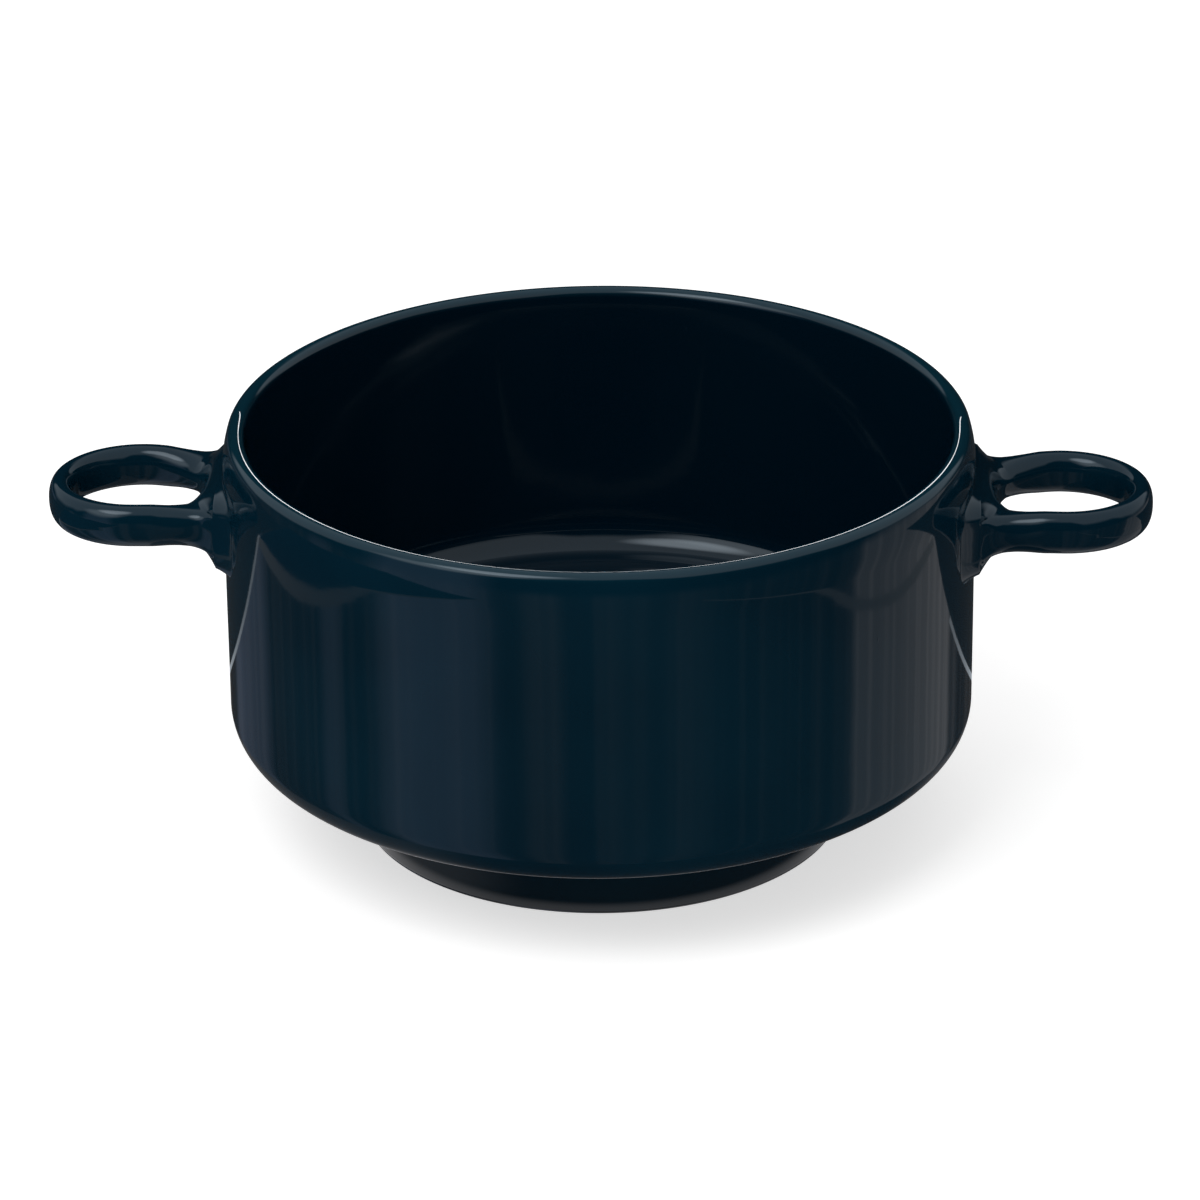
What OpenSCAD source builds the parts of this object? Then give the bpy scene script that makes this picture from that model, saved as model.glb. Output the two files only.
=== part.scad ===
// Two-handled soup crock: a turned stoneware bowl on a foot ring, with a ring handle
// luted to each side of the wall, under a dark blue glaze.
// Millimetres, Z up. The foot stands on Z = 0 and the handles lie along X.
// Sizes are those of the finished crock. The clay lies one glaze thickness below them.

/* [Bowl] */
// Diameter across the wall
bowl_d = 126.4; // [112:0.2:150]
// Height from the table to the crest of the rim
bowl_h = 71.3; // [66:0.1:90]
// Thickness of the wall
wall_t = 3.9; // [3.6:0.1:6]
// Radius of the lip's outer edge
lip_out_r = 1.6; // [1:0.1:2]
// Radius of the lip's inner edge
lip_in_r = 1.5; // [0.8:0.1:1.8]
// How far below the crest the wall starts to lean in towards the lip
lean_drop = 7.3; // [5:0.1:8]
// Radius of the outer corner between the wall and the underside
corner_r = 6.5; // [3:0.5:9]
// Thickness of the floor
floor_t = 5.8; // [4:0.1:9]
// Radius of the curve between the floor and the wall, inside
fillet_r = 6; // [2:0.5:12]

/* [Foot] */
// Diameter of the foot ring
foot_d = 83; // [50:0.5:96]
// Height of the bowl's underside above the table
foot_h = 15.5; // [10:0.5:18]
// Thickness of the foot ring
foot_t = 5; // [4:0.1:10]
// Radius of the foot's rounded lower edges
foot_edge_r = 1; // [0.5:0.1:1.2]

/* [Handles] */
// Length of the finger hole, outwards from the bowl
finger_l = 22.4; // [20:0.2:30]
// Width of the finger hole
finger_w = 20.8; // [18:0.2:22]
// Clay between the finger hole and the wall
web_t = 2.9; // [1.5:0.1:6]
// Thickness of the ring at its outer end
ring_end_t = 3.9; // [3:0.1:6]
// Thickness of the ring at its sides
ring_side_t = 4.7; // [3.5:0.1:6]
// Height of the ring
ring_h = 7.2; // [5:0.1:8]
// Depth of the ring's middle below the crest of the rim
handle_drop = 14; // [13:0.1:20]
// Width of the root, where the handle meets the slip
root_w = 28.4; // [24:0.2:32]
// How far the handle's middle drops from the ring to the root
neck_drop = 0.6; // [0:0.1:2]
// Height of the root above its middle
root_rise = 5.4; // [4:0.1:6]
// Depth of the root below its middle
root_fall = 7.5; // [5:0.1:9]
// How much of the root's height and depth is left at its corners
corner_share = 0.5; // [0.4:0.05:0.8]
// How far from the root the neck starts to flare
flare_reach = 7.5; // [4:0.5:10]
// Length of the pull that starts the side's curve towards the root
side_pull = 8; // [3:0.5:8]
// Length of the pull that ends the curve at the root's corner
root_pull = 2; // [1:0.5:5]

/* [Glaze and slip] */
// Thickness of the glaze
glaze_t = 0.4; // [0.2:0.05:0.5]
// Thickness of the slip between the wall and a handle, at its thinnest
slip_t = 0.9; // [0.6:0.1:1.5]
// How far the slip shows as a bead around a handle's root
bead_w = 0.5; // [0.3:0.1:1.5]
// Thickness of the slip between the bowl and its foot
foot_slip_t = 0.5; // [0.3:0.1:1]

/* [Fineness] */
// Steps in each curve of a turned outline
arc_steps = 8; // [4:1:16]
// Sections around a handle's ring
ring_steps = 60; // [48:12:96]
// Points around each section of the ring
section_steps = 14; // [10:2:20]
// Steps along the upper and the lower half of the root's outline
root_steps = 24; // [16:2:32]

/* [Hidden] */

// Direction of the handle's outline where the curve to the root starts, and of its corner
flare_a = 94;
corner_a = 138;
// Turn over which the ring's rounded outer edge opens into the root's flat face
opening_a = 30;
// How far the glaze wraps under the foot's rounded edges
wrap_a = 40;
// How square the ring's section and the root's outline are: 2 is an ellipse
section_power = 2.3;
root_power = 3;
// How quickly the flare dies away from the root
flare_power = 1.7;
// Direction in which the side's curve reaches the root's corner
root_heading = [-0.95, 0.3];
// Sides of the round wall where it cuts the thin slip, finer than elsewhere
seam_fn = 384;

bowl_r = bowl_d / 2;
inner_r = bowl_r - wall_t;
floor_z = foot_h + floor_t;
// Both edges of the lip meet on its crest, at this distance from the middle of the bowl
lip_x = inner_r + lip_in_r;
lip_out_z = bowl_h - lip_out_r;
lip_in_z = bowl_h - lip_in_r;
lean_z = bowl_h - lean_drop;
// The lean is an arc that starts upright on the wall and ends tangent to the lip's outer edge
lean_in = bowl_r - lip_x;
lean_up = lip_out_z - lean_z;
lean_r = (lean_in * lean_in + lean_up * lean_up - lip_out_r * lip_out_r) / (2 * (lean_in - lip_out_r));
lean_x = bowl_r - lean_r;
lean_a = atan2(lean_up, lip_x - lean_x);

foot_r = foot_d / 2;
foot_in_r = foot_r - foot_t;
foot_clay_r = foot_r - glaze_t;
foot_clay_in_r = foot_in_r + glaze_t;
clay_base_z = foot_h + glaze_t;

clay_r = bowl_r - glaze_t;
// A handle's root is cut flat, and the slip fills in between it and the round wall
seat_x = clay_r + slip_t;
handle_z = bowl_h - handle_drop;
root_z = handle_z - neck_drop;
ring_x = seat_x + web_t + finger_l / 2;
ring_end = finger_l / 2 + ring_end_t;
ring_side = finger_w / 2 + ring_side_t;
half_root = root_w / 2;

$fn = 96;

function mix(a, b, share) = a + (b - a) * share;
function smooth(share) = let (s = min(1, max(0, share))) s * s * (3 - 2 * s);
function power(value, exponent) = sign(value) * pow(abs(value), exponent);
function reversed(list) = [for (i = [len(list) - 1:-1:0]) list[i]];

// Points of a round stretch. A first of 1 leaves out the point that the stretch before it ends on
function arc(centre, r, from, to, first = 0) =
    [for (i = [first:arc_steps]) let (a = mix(from, to, i / arc_steps)) centre + r * [cos(a), sin(a)]];

// Outside of the bowl from the crest of the lip down to the underside, at a depth below the surface
function outside(depth) = concat(
    arc([lip_x, lip_out_z], lip_out_r - depth, 90, lean_a),
    arc([lean_x, lean_z], lean_r - depth, lean_a, 0, 1),
    arc([bowl_r - corner_r, foot_h + corner_r], corner_r - depth, 0, -90));

// Inside of the bowl from the crest of the lip down to the middle of the floor
function inside(depth, first = 0) = concat(
    arc([lip_x, lip_in_z], lip_in_r - depth, 90, 180, first),
    arc([inner_r - fillet_r, floor_z + fillet_r], fillet_r + depth, 0, -90),
    [[0, floor_z - depth]]);

// Side of the foot from the underside down to where the glaze ends
function foot_side(depth) = concat(
    [[foot_r - depth, foot_h + depth]],
    arc([foot_clay_r - foot_edge_r, foot_edge_r], foot_edge_r + glaze_t - depth, 0, -wrap_a));

// The same inside the foot
function foot_recess(depth) = concat(
    [[foot_in_r + depth, foot_h + depth]],
    arc([foot_clay_in_r + foot_edge_r, foot_edge_r], foot_edge_r + glaze_t - depth, 180, 180 + wrap_a));

module turned(outline) {
    rotate_extrude() polygon(outline);
}

// How much of the root's full height is left at a place across the wall
function root_share(y) = let (s = min(1, abs(y) / half_root))
    mix(corner_share, 1, pow(1 - pow(s, root_power), 1 / root_power));

// Upper or lower half of the root's outline, as places across and up, grown outwards
function root_half(side, height, grow) = [for (i = [0:root_steps]) let (
    y = side * half_root * cos(180 * i / root_steps))
    [y * (1 + grow / half_root), side * (height * root_share(y) + grow)]];

// A bar with the outline of the slip, from the middle of the bowl out to the right
module slip_bar(reach) {
    translate([0, 0, root_z]) rotate([90, 0, 90]) linear_extrude(reach)
        polygon(concat(root_half(1, root_rise, bead_w), root_half(-1, root_fall, bead_w)));
}

module clay_bowl() {
    color([0.72, 0.62, 0.5])
        turned(concat(outside(glaze_t), [[0, clay_base_z]], reversed(inside(glaze_t, 1))));
}

module foot_ring() {
    color([0.72, 0.62, 0.5])
        turned(concat(
            arc([foot_clay_r - foot_edge_r, foot_edge_r], foot_edge_r, -90, 0),
            [[foot_clay_r, clay_base_z - foot_slip_t], [foot_clay_in_r, clay_base_z - foot_slip_t]],
            arc([foot_clay_in_r + foot_edge_r, foot_edge_r], foot_edge_r, 180, 270)));
}

module foot_slip() {
    color([0.6, 0.52, 0.42])
        turned([
            [foot_clay_in_r, clay_base_z - foot_slip_t], [foot_clay_r, clay_base_z - foot_slip_t],
            [foot_clay_r, clay_base_z], [foot_clay_in_r, clay_base_z]]);
}

module lining_glaze() {
    color([0.01, 0.05, 0.1]) turned(concat(inside(0), reversed(inside(glaze_t))));
}

module outer_glaze() {
    color([0.02, 0.1, 0.16])
        difference() {
            turned(concat(
                outside(0), foot_side(0), reversed(foot_side(glaze_t)), reversed(outside(glaze_t))));
            slip_bar(bowl_d);
            mirror([1, 0, 0]) slip_bar(bowl_d);
        }
}

module base_glaze() {
    color([0.02, 0.1, 0.16])
        turned(concat([[0, foot_h]], foot_recess(0), reversed(foot_recess(glaze_t)), [[0, clay_base_z]]));
}

module handle_slip() {
    color([0.6, 0.52, 0.42])
        difference() {
            slip_bar(seat_x);
                cylinder(r = clay_r, h = bowl_h, $fn = seam_fn);
        }
}

module left_handle_slip() {
    mirror([1, 0, 0]) handle_slip();
}

module right_handle_slip() {
    handle_slip();
}

// A handle's ring is a closed run of sections. Each goes from the edge of the finger hole
// out to the edge of the handle, over the top and back below. Direction 0 points away from
// the bowl and 180 at it. Depth is how far the clay lies below the glazed surface.

function hole_edge(a, depth) =
    [ring_x + (finger_l / 2 + depth) * cos(a), (finger_w / 2 + depth) * sin(a)];

function ring_edge(a, depth) = [ring_x + (ring_end - depth) * cos(a), (ring_side - depth) * sin(a)];

function ring_heading(a, depth) =
    let (d = [-(ring_end - depth) * sin(a), (ring_side - depth) * cos(a)]) d / norm(d);

function bezier(p, s) = pow(1 - s, 3) * p[0] + 3 * s * pow(1 - s, 2) * p[1]
    + 3 * s * s * (1 - s) * p[2] + pow(s, 3) * p[3];

// Curve from the ring's side out to the corner of the root
function side_curve(s, depth) = let (
    start = ring_edge(flare_a, depth),
    corner = [seat_x, half_root - depth])
    bezier([start, start + side_pull * ring_heading(flare_a, depth), corner - root_pull * root_heading,
            corner], s);

// Place across the wall at which a section between the root's corners ends
function root_y(a, depth) = (half_root - depth) * cos(90 * (a - corner_a) / (180 - corner_a));

function outer_edge(a, depth) =
    a <= flare_a ? ring_edge(a, depth)
    : a <= corner_a ? side_curve((a - flare_a) / (corner_a - flare_a), depth)
    : [seat_x, root_y(a, depth)];

function section_point(a, t, depth) = let (
    inner = hole_edge(a, depth),
    outer = outer_edge(a, depth),
    reach_share = power(cos(t), 2 / section_power) / power(cos(180 / section_steps), 2 / section_power),
    place = mix(inner, outer, (1 + reach_share) / 2),
    // A section rounds off towards both edges, but runs on at full height where it ends on the slip
    open = cos(t) > 0 ? smooth((a - corner_a + opening_a) / opening_a) : 0,
    round_share = mix(pow(abs(sin(t)), 2 / section_power), 1, open),
    // The root flares above and below the ring as it nears the slip
    off_root = max(0, place.x - seat_x),
    flare = a > flare_a ? pow(max(0, 1 - off_root / flare_reach), flare_power) : 0,
    middle = handle_z - neck_drop * smooth(1 - off_root / (ring_x - seat_x)),
    root = (sin(t) > 0 ? root_rise : root_fall) * root_share(root_y(max(a, corner_a), 0)),
    height = mix(ring_h / 2, root, flare) - depth)
    [place.x, place.y, middle + sign(sin(t)) * height * round_share];

function handle_points(depth) = [
    for (i = [0:ring_steps - 1], j = [0:section_steps - 1]) let (
        turn = 360 * i / ring_steps,
        a = turn <= 180 ? turn : 360 - turn,
        p = section_point(a, 360 * (j + 0.5) / section_steps, depth))
        [p.x, turn <= 180 ? p.y : -p.y, p.z]];

// Number of a point on the ring. Sections and the points around them both close on themselves
function at(i, j) = (i % ring_steps) * section_steps + j % section_steps;

function quad(i, j) = [at(i, j), at(i, j + 1), at(i + 1, j + 1), at(i + 1, j)];

function split(q) = [[q[0], q[1], q[2]], [q[0], q[2], q[3]]];

module handle() {
    polyhedron(
        handle_points(glaze_t),
        [for (i = [0:ring_steps - 1], j = [0:section_steps - 1]) each split(quad(i, j))]);
}

// First and last section of those that end on the slip
root_first = ceil(corner_a * ring_steps / 360);
root_last = ring_steps - root_first;
last = section_steps - 1;

function on_root(i, j) = j == last && i >= root_first && i < root_last;

// The edge of the root's face, once round, as numbers of points
root_rim = concat(
    [for (i = [root_first:root_last]) at(i, section_steps)],
    [for (i = [root_last:-1:root_first]) at(i, last)]);

// The glaze is a skin with the glazed ring outside and the clay's ring inside, open at the root
module handle_glaze() {
    count = ring_steps * section_steps;
    skin = [for (i = [0:ring_steps - 1], j = [0:last]) if (!on_root(i, j)) each split(quad(i, j))];
    rim = len(root_rim);
    polyhedron(
        concat(handle_points(0), handle_points(glaze_t)),
        concat(
            skin,
            [for (f = skin) [f[2], f[1], f[0]] + count * [1, 1, 1]],
            [for (k = [0:rim - 1]) let (p = root_rim[k], q = root_rim[(k + 1) % rim])
                each [[p, q, q + count], [p, q + count, p + count]]]));
}

module left_handle() {
    color([0.72, 0.62, 0.5]) mirror([1, 0, 0]) handle();
}

module right_handle() {
    color([0.72, 0.62, 0.5]) handle();
}

module left_handle_glaze() {
    color([0.03, 0.13, 0.2]) mirror([1, 0, 0]) handle_glaze();
}

module right_handle_glaze() {
    color([0.03, 0.13, 0.2]) handle_glaze();
}

clay_bowl();
foot_ring();
foot_slip();
left_handle();
right_handle();
left_handle_slip();
right_handle_slip();
lining_glaze();
outer_glaze();
base_glaze();
left_handle_glaze();
right_handle_glaze();
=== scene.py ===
# %% [markdown]
# # A two-handled soup crock
#
# The crock is stoneware: a bowl thrown on a wheel, a foot ring under it and a ring of clay
# on each side to lift it by. One coat of dark blue glaze covers all of it but the ring of
# bare clay that it stands on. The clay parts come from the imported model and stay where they
# are. This lesson adds what the eye sees first: the glaze, its gloss and the studio around it.
#
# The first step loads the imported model. Its frame is in metres: Z is up, the foot stands on
# Z = 0 and the handles lie along X. The crock's own sizes are given in millimetres, times MM.

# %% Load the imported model
import math

import bpy
import numpy as np
from mathutils import Euler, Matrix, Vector


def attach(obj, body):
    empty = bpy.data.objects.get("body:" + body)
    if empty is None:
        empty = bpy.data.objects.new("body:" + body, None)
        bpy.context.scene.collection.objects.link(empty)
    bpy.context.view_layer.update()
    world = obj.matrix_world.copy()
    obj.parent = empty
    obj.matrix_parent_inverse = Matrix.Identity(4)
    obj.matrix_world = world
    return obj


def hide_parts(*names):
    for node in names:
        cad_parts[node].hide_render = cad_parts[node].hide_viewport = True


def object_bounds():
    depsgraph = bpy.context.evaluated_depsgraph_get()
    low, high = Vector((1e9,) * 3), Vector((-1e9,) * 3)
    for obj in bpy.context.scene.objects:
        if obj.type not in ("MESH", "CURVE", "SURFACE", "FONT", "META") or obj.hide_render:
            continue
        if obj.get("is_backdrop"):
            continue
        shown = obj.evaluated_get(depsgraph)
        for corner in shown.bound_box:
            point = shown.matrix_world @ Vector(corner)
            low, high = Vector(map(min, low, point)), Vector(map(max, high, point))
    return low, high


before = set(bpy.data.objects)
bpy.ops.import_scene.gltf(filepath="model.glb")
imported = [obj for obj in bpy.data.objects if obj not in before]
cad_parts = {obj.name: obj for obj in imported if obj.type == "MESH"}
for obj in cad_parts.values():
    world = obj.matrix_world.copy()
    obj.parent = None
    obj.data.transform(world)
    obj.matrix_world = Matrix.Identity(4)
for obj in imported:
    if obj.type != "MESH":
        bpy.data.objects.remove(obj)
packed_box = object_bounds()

MM = 0.001
print("clay parts and coats:", ", ".join(sorted(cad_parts)))

# %% [markdown]
# ## Sizes
#
# The glaze has to lie exactly on the clay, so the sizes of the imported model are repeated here
# in millimetres. They are the sizes of the finished surface. The clay lies one coat below it.

# %% Sizes of the crock
# R ends the name of a radius, H of a height, T of a thickness and A of an angle. The wall leans in
# from LEAN_DROP below the crest, and the glaze wraps round the foot's lower edge by WRAP_A degrees.
BOWL_R = 63.2
BOWL_H = 71.3
WALL_T = 3.9
LIP_OUT_R = 1.6
LIP_IN_R = 1.5
LEAN_DROP = 7.3
CORNER_R = 6.5
FLOOR_T = 5.8
FILLET_R = 6.0
FOOT_R = 41.5
FOOT_H = 15.5
FOOT_T = 5.0
FOOT_EDGE_R = 1.0
COAT_T = 0.4
WRAP_A = 40

INNER_R = BOWL_R - WALL_T
FLOOR_Z = FOOT_H + FLOOR_T
LIP_X = INNER_R + LIP_IN_R
LIP_OUT_Z = BOWL_H - LIP_OUT_R
LIP_IN_Z = BOWL_H - LIP_IN_R

# The lean is an arc that leaves the wall upright and meets the lip's outer edge without a corner
lean_in, lean_up = BOWL_R - LIP_X, LIP_OUT_Z - (BOWL_H - LEAN_DROP)
LEAN_R = (lean_in**2 + lean_up**2 - LIP_OUT_R**2) / (2 * (lean_in - LIP_OUT_R))
LEAN_X = BOWL_R - LEAN_R
LEAN_A = math.degrees(math.atan2(lean_up, LIP_X - LEAN_X))
print(f"wall {2 * BOWL_R:.1f} mm across, lean {LEAN_A:.1f} degrees under the lip")

# %% [markdown]
# ## Sums in nodes
#
# Materials and Geometry Nodes are both graphs. Written node by node they are hard to read, so
# two small classes help. `Graph` adds any node in one call. `Wire` is one output of a node, and
# `wire * 2 + 1` adds the Math nodes for that sum.

# %% Graph and Wire
class Graph:
    """A node tree, with one method that adds any node to it."""

    def __init__(self, tree):
        self.tree = tree

    def node(self, kind, settings=None, values=None):
        made = self.tree.nodes.new(kind)
        for name, setting in (settings or {}).items():
            setattr(made, name, setting)
        for key, value in (values or {}).items():
            if isinstance(value, Wire):
                self.tree.links.new(value.socket, made.inputs[key])
            else:
                made.inputs[key].default_value = value
        return made

    def wire(self, kind, settings=None, values=None, output=0):
        return Wire(self, self.node(kind, settings, values).outputs[output])

    def mix(self, share, first, second):
        """A colour between two colours."""
        return self.wire("ShaderNodeMix", {"data_type": "RGBA"}, {0: share, 6: first, 7: second}, 2)

    def ease(self, value, low, high):
        """0 below low, 1 above high and a smooth step between them."""
        return self.wire(
            "ShaderNodeMapRange", {"interpolation_type": "SMOOTHSTEP"}, {0: value, 1: low, 2: high})

    def noise(self, place, scale, detail=2.0):
        """A soft random pattern. A larger scale makes it finer."""
        return self.wire(
            "ShaderNodeTexNoise", {}, {"Vector": place, "Scale": scale, "Detail": detail})


class Wire:
    """One output of a node, for writing sums."""

    def __init__(self, graph, socket):
        self.graph, self.socket = graph, socket

    def sum(self, operation, first, second=0.0):
        return self.graph.wire("ShaderNodeMath", {"operation": operation}, {0: first, 1: second})

    def __add__(self, other):
        return self.sum("ADD", self, other)

    def __radd__(self, other):
        return self.sum("ADD", other, self)

    def __sub__(self, other):
        return self.sum("SUBTRACT", self, other)

    def __rsub__(self, other):
        return self.sum("SUBTRACT", other, self)

    def __mul__(self, other):
        return self.sum("MULTIPLY", self, other)

    def __rmul__(self, other):
        return self.sum("MULTIPLY", other, self)

    def __truediv__(self, other):
        return self.sum("DIVIDE", self, other)

    def cosine(self):
        return self.sum("COSINE", self)

    def sine(self):
        return self.sum("SINE", self)

    def whole(self):
        return self.sum("FLOOR", self)

    def remainder(self, other):
        return self.sum("FLOORED_MODULO", self, other)


print("helpers ready: Graph, Wire")

# %% [markdown]
# ## The glaze as a finish
#
# The real glaze is nearly black and very glossy, with a blue that shows only where light gets
# into it. One flat colour would look like painted plastic. Four things make it fired glaze.
# The colour drifts a little from place to place. It is thinner and lighter where the melted
# glaze drew back from an edge. The gloss changes slightly. And the surface is never quite flat:
# it has slow waves, a fine orange peel and a few pinholes, which bend every reflection.

# %% A new finish
def new_finish(name):
    material = bpy.data.materials.new(name)
    material.use_nodes = True
    material.node_tree.nodes.clear()
    return material, Graph(material.node_tree)


def surface(graph, **values):
    """The Principled shader that every finish here ends in."""
    named = {key.replace("_", " "): value for key, value in values.items()}
    shader = graph.wire("ShaderNodeBsdfPrincipled", {}, named)
    graph.node("ShaderNodeOutputMaterial", {}, {0: shader})


def object_place(graph):
    return graph.wire("ShaderNodeTexCoord", output=3)


# %% Blue glaze
GLAZE_DEEP = (0.0005, 0.0125, 0.0240, 1.0)
GLAZE_BLUE = (0.0009, 0.0180, 0.0330, 1.0)
GLAZE_THIN = (0.0030, 0.0290, 0.0460, 1.0)
# The last tone is painted shade for the inside of the bowl
GLAZE_SHADED_INSIDE = (0.0004, 0.0072, 0.0155, 1.0)
# Painted shade: a darker tone fills the inside of the bowl, where less light falls. It fades
# out over the lip and below the floor.
INSIDE_SHADE_SHARE = 0.85
INSIDE_SHADE_OUTER_FADE = (INNER_R - 0.2, INNER_R + 0.8)
INSIDE_SHADE_LOWER_FADE = (FLOOR_Z - 3, FLOOR_Z - 1)
# The thin tone lies on the crest of the lip, down to this depth
THIN_SHARE = 0.7
THIN_DEPTH = 1.4
# Spots are drawn in the cells of a sparse pattern. Each cell has a chance number from 0 to 1.
CELL_SCALE = 150.0
SPOT_FADE = (0.015, 0.045)
PINHOLE_CHANCE = (0.955, 0.96)
SPECK_CHANCE = (0.04, 0.045)
RELIEF_DEPTH = 0.25


def make_glaze(name, thrown, hand_waves):
    """The blue glaze. On the thrown bowl the inside gets a darker tone as painted shade, and the
    glaze thins out over the lip's crest. Hand waves are the dents and ripples that fingers left
    on a rolled handle."""
    material, graph = new_finish(name)
    place = object_place(graph)
    drift = graph.ease(graph.noise(place, 22.0, 3.0), 0.30, 0.72)
    colour = graph.mix(drift, GLAZE_DEEP, GLAZE_BLUE)
    if thrown:
        parts = graph.node("ShaderNodeSeparateXYZ", {}, {0: place})
        x, y, height = (Wire(graph, parts.outputs[i]) for i in range(3))
        radius = x.sum("SQRT", x * x + y * y)
        # Painted shade: the inside of the bowl gets the darker tone
        shade_inside = ((1.0 - graph.ease(radius, INSIDE_SHADE_OUTER_FADE[0] * MM, INSIDE_SHADE_OUTER_FADE[1] * MM))
                  * graph.ease(height, INSIDE_SHADE_LOWER_FADE[0] * MM, INSIDE_SHADE_LOWER_FADE[1] * MM))
        colour = graph.mix(shade_inside * INSIDE_SHADE_SHARE, colour, GLAZE_SHADED_INSIDE)
        thin = graph.ease(height, (BOWL_H - THIN_DEPTH) * MM, BOWL_H * MM) * THIN_SHARE
        colour = graph.mix(thin, colour, GLAZE_THIN)
    # A few cells of a sparse pattern hold a pinhole, some others a speck under the glaze
    cells = graph.node(
        "ShaderNodeTexVoronoi", {"feature": "F1"}, {"Vector": place, "Scale": CELL_SCALE})
    near, chance = Wire(graph, cells.outputs[0]), Wire(graph, cells.outputs[1])
    pick = graph.wire("ShaderNodeSeparateColor", {}, {0: chance}, 0)
    spot = 1.0 - graph.ease(near, *SPOT_FADE)
    pinhole = spot * graph.ease(pick, *PINHOLE_CHANCE)
    speck = spot * (1.0 - graph.ease(pick, *SPECK_CHANCE))
    # Slow waves and orange peel, then the hand's dents, then the spots
    waves = graph.noise(place, 55.0, 1.0) * 0.16 + graph.noise(place, 420.0, 2.0) * 0.012
    relief = waves + graph.noise(place, 190.0, 1.5) * hand_waves - pinhole * 0.16 + speck * 0.12
    bump = graph.wire(
        "ShaderNodeBump", {}, {"Strength": 1.0, "Distance": RELIEF_DEPTH * MM, "Height": relief})
    gloss = graph.noise(place, 90.0, 3.0) * 0.03 + 0.035
    surface(
        graph, Base_Color=colour, Roughness=gloss + pinhole * 0.2, IOR=1.5, Normal=bump)
    return material


glaze = make_glaze("blue_glaze", thrown=True, hand_waves=0.02)
handle_glaze = make_glaze("blue_glaze_on_handles", thrown=False, hand_waves=0.32)
print("glaze:", len(glaze.node_tree.nodes), "nodes")

# %% [markdown]
# ## Bare clay and slip
#
# The ring that the crock stands on has no glaze, or it would stick to the kiln shelf. It is
# buff, matt and gritty, with iron specks. The slip in the seams is the same clay, finer and
# darker, and is almost all covered.

# %% Fired clay and slip
CLAY_LIGHT, CLAY_DARK = (0.60, 0.47, 0.33, 1.0), (0.48, 0.36, 0.24, 1.0)
SLIP_LIGHT, SLIP_DARK = (0.47, 0.36, 0.25, 1.0), (0.36, 0.26, 0.17, 1.0)
IRON_SPECK = (0.09, 0.045, 0.02, 1.0)
GRIT_DEPTH = 0.15


def make_clay(name, light, dark, grit):
    material, graph = new_finish(name)
    place = object_place(graph)
    tone = graph.ease(graph.noise(place, 60.0, 5.0), 0.35, 0.68)
    colour = graph.mix(tone, dark, light)
    speck = graph.ease(graph.noise(place, 900.0, 2.0), 0.66, 0.72)
    colour = graph.mix(speck * 0.75, colour, IRON_SPECK)
    relief = graph.noise(place, 700.0, 4.0) * grit + graph.noise(place, 2600.0, 2.0) * 0.25
    bump = graph.wire(
        "ShaderNodeBump", {}, {"Strength": 0.8, "Distance": GRIT_DEPTH * MM, "Height": relief})
    roughness = graph.noise(place, 300.0) * 0.15 + 0.75
    surface(graph, Base_Color=colour, Roughness=roughness, Normal=bump)
    return material


clay = make_clay("fired_clay", CLAY_LIGHT, CLAY_DARK, grit=0.6)
slip = make_clay("fired_slip", SLIP_LIGHT, SLIP_DARK, grit=0.3)

for name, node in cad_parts.items():
    node.data.materials.clear()
    node.data.materials.append(
        slip if name.endswith("slip") else glaze if name.endswith("glaze") else clay)
print("finishes on the packed parts:", len(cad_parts))

# %% [markdown]
# ## The thrown coat
#
# A pot from the wheel is one outline turned round an axis. The same rule makes the glaze: an
# outline in the XZ plane goes in, and a Geometry Nodes tree turns it. The Spin tool would do it
# too, but the tree keeps its sizes as inputs, so the lining, the outside and the foot's recess
# can share it. It also adds a slow wobble of a few hundredths of a millimetre, always inwards,
# because no hand-finished pot is perfectly round. That wobble is what makes reflections swim.

# %% Outlines
def arc(centre, radius, start, end, steps):
    """Points of a round stretch, in degrees from start to end."""
    turn = np.radians(np.linspace(start, end, steps + 1))
    return np.column_stack([centre[0] + radius * np.cos(turn), centre[1] + radius * np.sin(turn)])


def line(start, end, steps):
    """Points of a straight stretch."""
    share = np.linspace(0, 1, steps + 1)[:, None]
    return (1 - share) * np.array(start, float) + share * np.array(end, float)


POOL_R = 1.6  # the glaze pools in the corner between the foot and the underside


def outside(depth, fine):
    """From the crest of the lip down the outside to where the glaze ends under the foot."""
    foot_x = FOOT_R - COAT_T - FOOT_EDGE_R
    pool = POOL_R + depth
    return np.vstack([
        arc((LIP_X, LIP_OUT_Z), LIP_OUT_R - depth, 90, LEAN_A, 10 * fine),
        arc((LEAN_X, BOWL_H - LEAN_DROP), LEAN_R - depth, LEAN_A, 0, 8 * fine),
        line((BOWL_R - depth, BOWL_H - LEAN_DROP), (BOWL_R - depth, FOOT_H + CORNER_R), 12 * fine),
        arc((BOWL_R - CORNER_R, FOOT_H + CORNER_R), CORNER_R - depth, 0, -90, 10 * fine),
        line((BOWL_R - CORNER_R, FOOT_H + depth), (FOOT_R + POOL_R, FOOT_H + depth), 4 * fine),
        arc((FOOT_R + POOL_R, FOOT_H - POOL_R), pool, 90, 180, 4 * fine),
        line((FOOT_R - depth, FOOT_H - POOL_R), (FOOT_R - depth, FOOT_EDGE_R), 4 * fine),
        arc((foot_x, FOOT_EDGE_R), FOOT_EDGE_R + COAT_T - depth, 0, -WRAP_A, 3 * fine)])


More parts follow.
